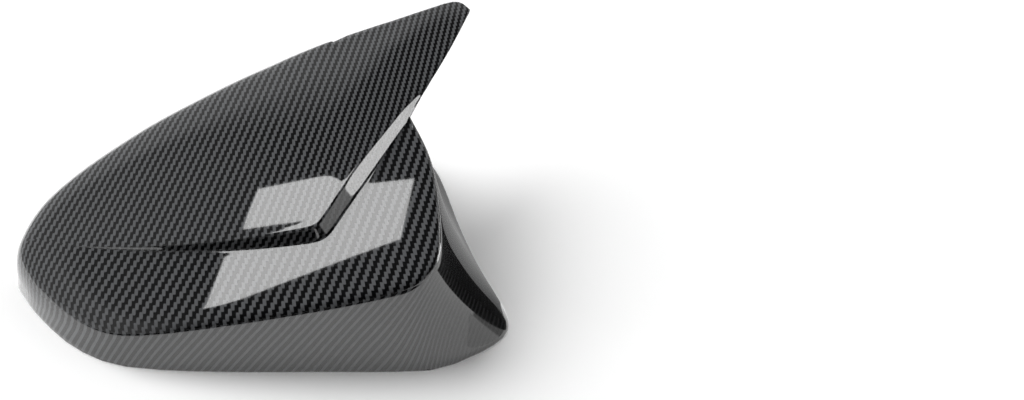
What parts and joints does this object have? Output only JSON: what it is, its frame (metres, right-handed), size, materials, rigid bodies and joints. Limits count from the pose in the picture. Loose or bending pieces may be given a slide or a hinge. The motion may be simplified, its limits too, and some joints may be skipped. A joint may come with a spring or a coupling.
{
  "type": "wing mirror cover",
  "caption": "Horned wing mirror cover: a hollow moulded shell with a creased sloping front, a flared foot and a raised blade that runs out into a pointed horn, in carbon-look gloss finish.",
  "frame": {"origin": "middle of the bounding box, on the plane of the rim that the cover lies on", "axes": "+X from the outboard nose to the foot by the door, +Y from the lower wall to the upper wall of the fitted cover, +Z away from the open side, which is forward on the car"},
  "size_m": [0.2256, 0.1595, 0.0907],
  "materials": {
    "carbon_gloss": "printed twill carbon pattern under a high-gloss clear coat, plain black moulding inside"
  },
  "bodies": {
    "root": {"mirror_cover": "carbon_gloss"}
  },
  "joints": []
}
